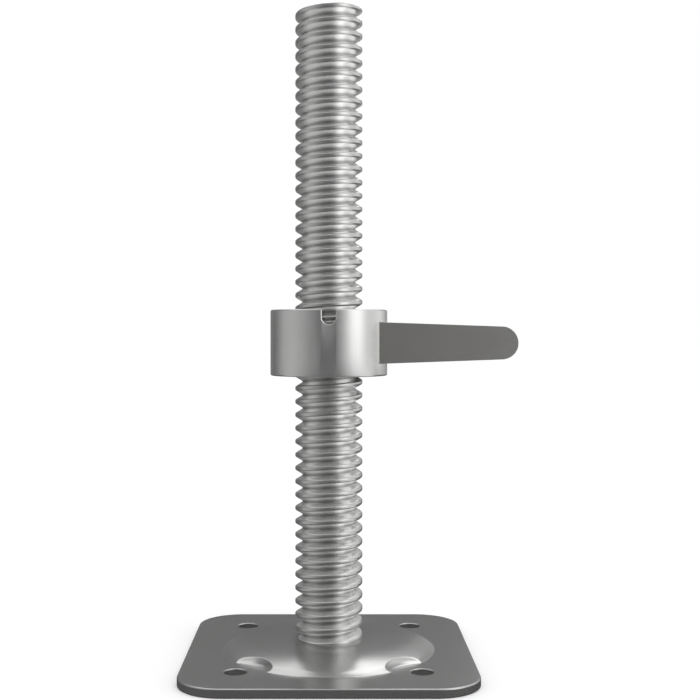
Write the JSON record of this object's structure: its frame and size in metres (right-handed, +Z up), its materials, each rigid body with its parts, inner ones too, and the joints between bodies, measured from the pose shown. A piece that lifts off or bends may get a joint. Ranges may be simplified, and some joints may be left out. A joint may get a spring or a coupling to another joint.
{
  "type": "scaffold base jack",
  "caption": "Adjustable scaffold base jack: square pressed base plate, threaded tubular spindle and a collar nut with a lever that carries the scaffold tube.",
  "frame": {"origin": "on the spindle's axis, in the plane of the base plate's underside (the floor), at the centre of the anchor-hole pattern", "axes": "+Z up along the spindle, +X towards the lever's tip, -Y towards the side with the notch in the collar's rim"},
  "size_m": [0.1836, 0.158, 0.3653],
  "materials": {
    "plate_steel": "satin zinc-plated sheet steel, clean",
    "spindle_steel": "satin zinc-plated rolled thread, clean",
    "weld_steel": "plated weld bead, slightly rippled",
    "nut_steel": "satin zinc-plated turned steel, clean",
    "lever_steel": "satin zinc-plated flat bar, clean"
  },
  "bodies": {
    "base": {"base_plate": "plate_steel", "spindle": "spindle_steel", "spindle_weld": "weld_steel"},
    "nut": {"collar_nut": "nut_steel", "lever": "lever_steel"}
  },
  "joints": [
    {"name": "nut_height", "type": "slide", "parent": "base", "child": "nut", "axis": [0, 0, 1], "range_m": [-0.143, 0.165]}
  ]
}
